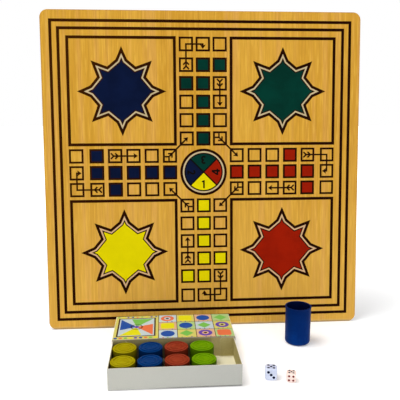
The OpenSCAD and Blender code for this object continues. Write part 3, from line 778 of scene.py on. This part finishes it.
def tray():
    """The tray as it is folded: front wall, floor and back wall are one U-shaped strip carried
    across the tray, and each end wall with its two tabs is a C-shaped strip carried up."""
    skin = Skin()
    x0, y0, z0 = tray_low
    x1, y1, z1 = tray_high
    t = CARD_T
    fold, inner_fold = 0.75 * MM, 0.2 * MM

    def walled(outside, inside, place, cut):
        """Outer and inner lines of a folded strip, joined along their free ends and cut ends."""
        a = np.stack([place(outside, c) for c in cut], 1)
        b = np.stack([place(inside, c) for c in cut], 1)
        skin.grid(a, 0)
        skin.grid(b, 1, flip=True)
        for end, flip in ((0, True), (-1, False)):
            skin.grid(np.stack([a[end], b[end]]), 2, flip=flip)
            skin.grid(np.stack([a[:, end], b[:, end]]), 2, flip=not flip)

    # the U in y and z: down the front wall, back along the floor, up the back wall
    outer = [(y0, z1), (y0, z0), (y1, z0), (y1, z1)]
    inner = [(y0 + t, z1), (y0 + t, z0 + t), (y1 - t, z0 + t), (y1 - t, z1)]
    walled(
        rounded(outer, (0, fold, fold, 0)),
        rounded(inner, (0, inner_fold, inner_fold, 0)),
        lambda line, x: np.column_stack([np.full(len(line), x), line]),
        np.linspace(x0, x1, 40),
    )
    # the C in x and y: in along one tab, down the end wall, in along the other tab
    tab = 20 * MM
    ya, yb = y0 + t, y1 - t
    top = z1 - 0.4 * MM
    # closer together at the bottom and the top, where the tabs are cut
    heights = np.concatenate([
        np.linspace(z0 + t, z0 + 4 * MM, 4),
        np.linspace(z0 + 5 * MM, top - 4 * MM, 8),
        np.linspace(top - 3 * MM, top, 4),
    ])
    for side, xe in ((1, x1), (-1, x0)):
        xt, xi = xe - side * tab, xe - side * t
        outer = [(xt, ya), (xe, ya), (xe, yb), (xt, yb)]
        inner = [(xt, ya + t), (xi, ya + t), (xi, yb - t), (xt, yb - t)]
        line_out = rounded(outer, (0, fold, fold, 0))
        line_in = rounded(inner, (0, inner_fold, inner_fold, 0))
        if side < 0:
            line_out, line_in = line_out[::-1], line_in[::-1]

        def rise(line, z):
            """Up the wall, the tabs' free ends cut slantwise near the top and the bottom."""
            points = np.column_stack([line, np.full(len(line), z)])
            height = (z - z0 - t) / (z1 - z0 - t)
            cut = 3 * MM * np.clip(np.abs(height - 0.5) * 2 - 0.8, 0, 1) / 0.2
            loose = np.abs(points[:, 0] - xe) > tab - 0.1 * MM
            points[:, 0] += np.where(loose, side * cut, 0)
            return points

        walled(line_out, line_in, rise, heights)
    cards = [TRAY_OUTSIDE, TRAY_INSIDE, TRAY_EDGE_HIGHLIGHT]
    skin.piece("tray", cards, "tray", ["box_tray"], "tray_card")


sleeve()
sleeve_print()
tray()


# Counters, cup and dice


def counter(name, colour, number):
    """A counter turned from its profile: top plate with its stacking ring and inner ring, the
    skirt, and the hollow underside, with ribs and a boss below the plate."""
    low, high = (np.array(v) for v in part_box(name))
    centre = ((low[0] + high[0]) / 2, (low[1] + high[1]) / 2, low[2])
    skirt, plate, ring_h, inner_h, play = (v * MM for v in (1.85, 2, 0.8, 0.4, 0.35))
    r = (high[0] - low[0]) / 2
    top = high[2] - low[2] - ring_h
    hollow = r - skirt
    ring, ring_in = hollow - play, hollow - play - 2 * MM
    inner, inner_in = ring * 0.6, ring * 0.6 - 0.9 * MM
    foot = 0.02 * MM
    corners = [
        (0, top), (inner_in, top), (inner_in, top + inner_h), (inner, top + inner_h), (inner, top),
        (ring_in, top), (ring_in, top + ring_h), (ring, top + ring_h), (ring, top),
        (r, top), (r, foot), (hollow, foot), (hollow, top - plate), (0, top - plate),
    ]
    radii = np.array([0, 0.2, 0.18, 0.18, 0.15, 0.25, 0.3, 0.3, 0.15, 0.7, 0.5, 0.2, 0.5, 0]) * MM
    profile = rounded(corners, radii, steps=4)
    skin = Skin().grid(turned(profile, centre, 80), flip=True)
    # three ribs right across, and the boss, run a little into the skirt and the plate
    rib_w, low_rib, high_rib = 1.2 * MM, 4 * MM, top - 1.9 * MM
    for angle in np.arange(3) * math.pi / 3:
        reach = (hollow + 0.3 * MM) * np.array([math.cos(angle), math.sin(angle)])
        start, end = centre[:2] - reach, centre[:2] + reach
        skin.grid(bar(start, end, rib_w, low[2] + low_rib, low[2] + high_rib), flip=True)
    boss_r, edge = 3 * MM, 0.3 * MM
    boss = [
        (0, low_rib), (boss_r - edge, low_rib), (boss_r, low_rib + edge),
        (boss_r, high_rib), (0, high_rib),
    ]
    skin.grid(turned(np.array(boss), centre, 24))
    label, body = "counter." + colour + "." + number, colour + "_counter_" + number
    skin.piece(label, [PLASTIC[colour]], body, [name], "counter_" + colour)


for colour in COLOURS:
    for number in "1234":
        counter("counter_" + colour + "_" + number, colour, number)


def cup():
    """The shaker turned from its profile: hollowed foot, rounded heel, tapered wall, beaded rim,
    and the inside down to a rounded floor."""
    low, high = (np.array(v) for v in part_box("shaker_cup"))
    centre = ((low[0] + high[0]) / 2, (low[1] + high[1]) / 2, low[2])
    bead, wall, floor, taper = (v * MM for v in (0.5, 1.4, 2, 0.4))
    hollow_r, hollow_h = 12 * MM, 0.8 * MM
    r = (high[0] - low[0]) / 2 - bead
    h = high[2] - low[2]
    foot = r - taper
    corners = [
        (0, hollow_h), (hollow_r, hollow_h), (hollow_r + hollow_h, 0), (foot, 0),
        (r, h - 1.6 * MM), (r + bead, h - 1 * MM), (r + bead, h), (r - wall, h),
        (foot - wall, floor), (0, floor),
    ]
    radii = np.array([0, 0.4, 0.4, 4.5, 0.4, 0.3, 0.45, 0.4, 3.1, 0]) * MM
    profile = stepped(rounded(corners, radii, steps=8), 4 * MM)
    # the inside's darker tone, painted shade, begins on the rim, six points past the first of its
    # highest
    mouth = int(profile[:, 1].argmax()) + 6
    skin = Skin().grid(turned(profile[: mouth + 1], centre, 128))
    skin.grid(turned(profile[mouth:], centre, 128), 1)
    skin.piece("cup", [CUP, CUP_INSIDE_SHADE], "cup", ["shaker_cup"], "cup_plastic")


cup()

# the rounding ball, a pip's radius and the spacing of the pips, in shares of a die's half side
BALL_SHARE, PIP_SHARE, PITCH_SHARE = 1.44, 0.235, 0.44
# how square a die is before the ball cuts it, and how sharp the cut is
CUBE_POWER, CUT_POWER = 14, 24
PIP_SPOTS = {
    1: [(0, 0)],
    2: [(-1, 1), (1, -1)],
    3: [(-1, 1), (0, 0), (1, -1)],
    4: [(-1, 1), (1, -1), (1, 1), (-1, -1)],
    5: [(-1, 1), (1, -1), (1, 1), (-1, -1), (0, 0)],
    6: [(-1, 1), (1, -1), (1, 1), (-1, -1), (-1, 0), (1, 0)],
}


def die(name, body, turn, faces, shell, slot, reds=()):
    """A die: P(d) = d ((|d|_n / h)^m + (|d| / R)^m)^(-1/m) along each direction d, with n the
    cube's power and m the cut's: a soft cube of half side h cut by a ball of radius R. It is sunk
    by depth * (1 - (p / pip)^2) inside each pip, and the paint is a bowl of the same curve, a hair
    above the sunk face and a little narrower."""
    low, high = (np.array(v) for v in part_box(name))
    centre = (low + high) / 2
    h = (high[2] - low[2]) / 2
    ball, pip, pitch, depth = h * BALL_SHARE, h * PIP_SHARE, h * PITCH_SHARE, 0.45 * MM
    c, s = math.cos(turn), math.sin(turn)
    spin = np.array([[c, -s, 0], [s, c, 0], [0, 0, 1]])
    steps = np.tan(np.linspace(-1, 1, 73) * math.pi / 4)
    u, v = np.meshgrid(steps, steps, indexing="ij")
    skin, navy, red = Skin(), Skin(), Skin()
    for right, up, number in faces:
        right, up = np.array(right, float), np.array(up, float)
        out = np.cross(right, up)
        d = u[..., None] * right + v[..., None] * up + out
        cube = (np.abs(d) ** CUBE_POWER).sum(-1) ** (1 / CUBE_POWER) / h
        cut = np.sqrt((d * d).sum(-1)) / ball
        p = d * ((cube**CUT_POWER + cut**CUT_POWER) ** (-1 / CUT_POWER))[..., None]
        across, along = p @ right, p @ up
        for a, b in PIP_SPOTS[number]:
            near = ((across - a * pitch) ** 2 + (along - b * pitch) ** 2) / pip**2
            p = p - out * (depth * np.clip(1 - near, 0, 1))[..., None]
            angle = full_turn(32)
            rho = np.linspace(0, 0.97, 7)[:, None]
            x = a * pitch + pip * rho * np.cos(angle)
            y = b * pitch + pip * rho * np.sin(angle)
            sink = h - depth * (1 - rho**2) + 0.02 * MM + 0 * angle
            bowl = x[..., None] * right + y[..., None] * up + sink[..., None] * out
            paint = red if number in reds else navy
            paint.grid(bowl @ spin.T + centre)
        skin.grid(p @ spin.T + centre)
    skin.piece(name + ".shell", [shell], body, [name], slot, crease=60)
    navy.piece(name + ".navy_pips", [PIP_NAVY], body, slot=slot)
    if reds:
        red.piece(name + ".red_pips", [PIP_RED], body, slot=slot)


def facing(top, front, right):
    """The six faces as (right, up, number): each is seen from outside with up as its up."""
    x, y, z = (1, 0, 0), (0, 1, 0), (0, 0, 1)
    nx, ny, nz = (-1, 0, 0), (0, -1, 0), (0, 0, -1)
    return [
        (x, y, top), (x, ny, 7 - top),
        (x, z, front), (x, nz, 7 - front),
        (y, z, right), (ny, z, 7 - right),
    ]


die("die_1", "first_die", math.radians(-10), facing(5, 3, 6), DIE_ONE, "die_blue_white")
die("die_2", "second_die", math.radians(-15), facing(5, 4, 1), DIE_TWO, "die_pink_white", (1, 4))


# Table, light and camera

# the table lies a hair below the set, so that their faces don't fight
TABLE_GAP = 0.05 * MM
# the photograph's focal length and width in pixels, and the sensor that stands for that width
FOCAL_PX, PHOTO_PX, SENSOR_MM = 540.5, 400, 36
CAMERA_PLACE = (-0.0671, -0.75617, 0.35797)
CAMERA_PITCH, CAMERA_YAW, CAMERA_ROLL = (math.radians(a) for a in (10.2, 4.05, -0.06))


def table_top():
    """A flat round table top: P(r, a) = (r cos a, r sin a, -gap), far wider than the view. To
    the camera it glows more and more away from the set, so that it fades into the white room."""
    r = np.array([0, 0.5, 1, 2, 4, 8.0])[:, None]
    a = full_turn(96)
    points = np.stack([r * np.cos(a), r * np.sin(a), 0 * a * r - TABLE_GAP], -1)
    f = Finish("table_white", rough=0.9, specular=0.0)
    cloud = f.noise(f.object, 3, 2)
    f.colour(f.blend(f.band(cloud, 0.3, 0.7), tone("#f4f4f4"), tone("#f6f6f6")))
    glow = f.add("ShaderNodeEmission")
    rays = f.add("ShaderNodeLightPath").outputs
    seen = f.calc(rays["Is Camera Ray"], rays["Is Glossy Ray"])
    seen = f.calc(seen, rays["Is Transmission Ray"])
    far = f.band(f.length(f.object), 0.25, 1.2, 0.22, 1.0)
    f.link(f.calc(seen, far, "MULTIPLY"), glow.inputs["Strength"])
    both = f.add("ShaderNodeAddShader")
    f.link(f.shader.outputs["BSDF"], both.inputs[0])
    f.link(glow.outputs["Emission"], both.inputs[1])
    f.link(both.outputs["Shader"], f.out.inputs["Surface"])
    obj = bpy.data.objects.new("table_top", Skin().grid(points).mesh("table_top", [f.material]))
    bpy.context.scene.collection.objects.link(obj)


def surroundings(strength):
    """An even white room: its light on things is strength, and the camera, straight or by way of
    a gloss, sees pure white."""
    world = bpy.data.worlds.new("white_room")
    bpy.context.scene.world = world
    world.use_nodes = True
    tree = world.node_tree
    tree.nodes.clear()
    out = tree.nodes.new("ShaderNodeOutputWorld")
    shade = tree.nodes.new("ShaderNodeBackground")
    shade.inputs["Color"].default_value = (1, 1, 1, 1)
    rays = tree.nodes.new("ShaderNodeLightPath")
    level = tree.nodes.new("ShaderNodeMapRange")
    level.inputs["To Min"].default_value = strength
    level.inputs["To Max"].default_value = 1.0
    total = rays.outputs["Is Camera Ray"]
    for key in ("Is Glossy Ray", "Is Transmission Ray"):
        plus = tree.nodes.new("ShaderNodeMath")
        plus.operation = "MAXIMUM"
        tree.links.new(total, plus.inputs[0])
        tree.links.new(rays.outputs[key], plus.inputs[1])
        total = plus.outputs["Value"]
    tree.links.new(total, level.inputs["Value"])
    tree.links.new(level.outputs["Result"], shade.inputs["Strength"])
    tree.links.new(shade.outputs["Background"], out.inputs["Surface"])


def lamp(name, place, aim, size, power):
    """A square soft lamp at place, turned to face aim."""
    light = bpy.data.lights.new(name, "AREA")
    light.shape = "SQUARE"
    light.size = size
    light.energy = power
    obj = bpy.data.objects.new(name, light)
    obj.matrix_world = looking(place, aim)
    bpy.context.scene.collection.objects.link(obj)


def looking(place, aim):
    """The place and turn of a lamp that looks from place to aim, with its top upwards."""
    back = (Vector(place) - Vector(aim)).normalized()
    right = Vector((0, 0, 1)).cross(back).normalized()
    up = back.cross(right)
    return Matrix.Translation(place) @ Matrix((right, up, back)).transposed().to_4x4()


def photo_camera():
    """The photograph's camera: turned to the right by its yaw, down by its pitch, and rolled
    about its line of sight."""
    pitch, yaw, roll = CAMERA_PITCH, CAMERA_YAW, CAMERA_ROLL
    ahead = Vector((math.sin(yaw), math.cos(yaw), 0))
    forward = ahead * math.cos(pitch) - Vector((0, 0, math.sin(pitch)))
    right = Vector((math.cos(yaw), -math.sin(yaw), 0))
    up = right.cross(forward)
    right, up = (
        math.cos(roll) * right + math.sin(roll) * up,
        -math.sin(roll) * right + math.cos(roll) * up,
    )
    data = bpy.data.cameras.new("photo_camera")
    data.sensor_width = SENSOR_MM
    data.lens = SENSOR_MM * FOCAL_PX / PHOTO_PX
    data.clip_start, data.clip_end = 0.01, 50
    obj = bpy.data.objects.new("photo_camera", data)
    turn = Matrix((right, up, -forward)).transposed().to_4x4()
    obj.matrix_world = Matrix.Translation(CAMERA_PLACE) @ turn
    bpy.context.scene.collection.objects.link(obj)
    bpy.context.scene.camera = obj


table_top()
surroundings(strength=0.46)
lamp("key", place=(-0.8, -0.15, 2.4), aim=(0, 0, 0.1), size=1.2, power=40)
lamp("fill", place=(0.6, -1.8, 0.45), aim=(0.1, 0.05, 0.1), size=1.6, power=14)
photo_camera()
bpy.context.scene.view_settings.view_transform = "Standard"
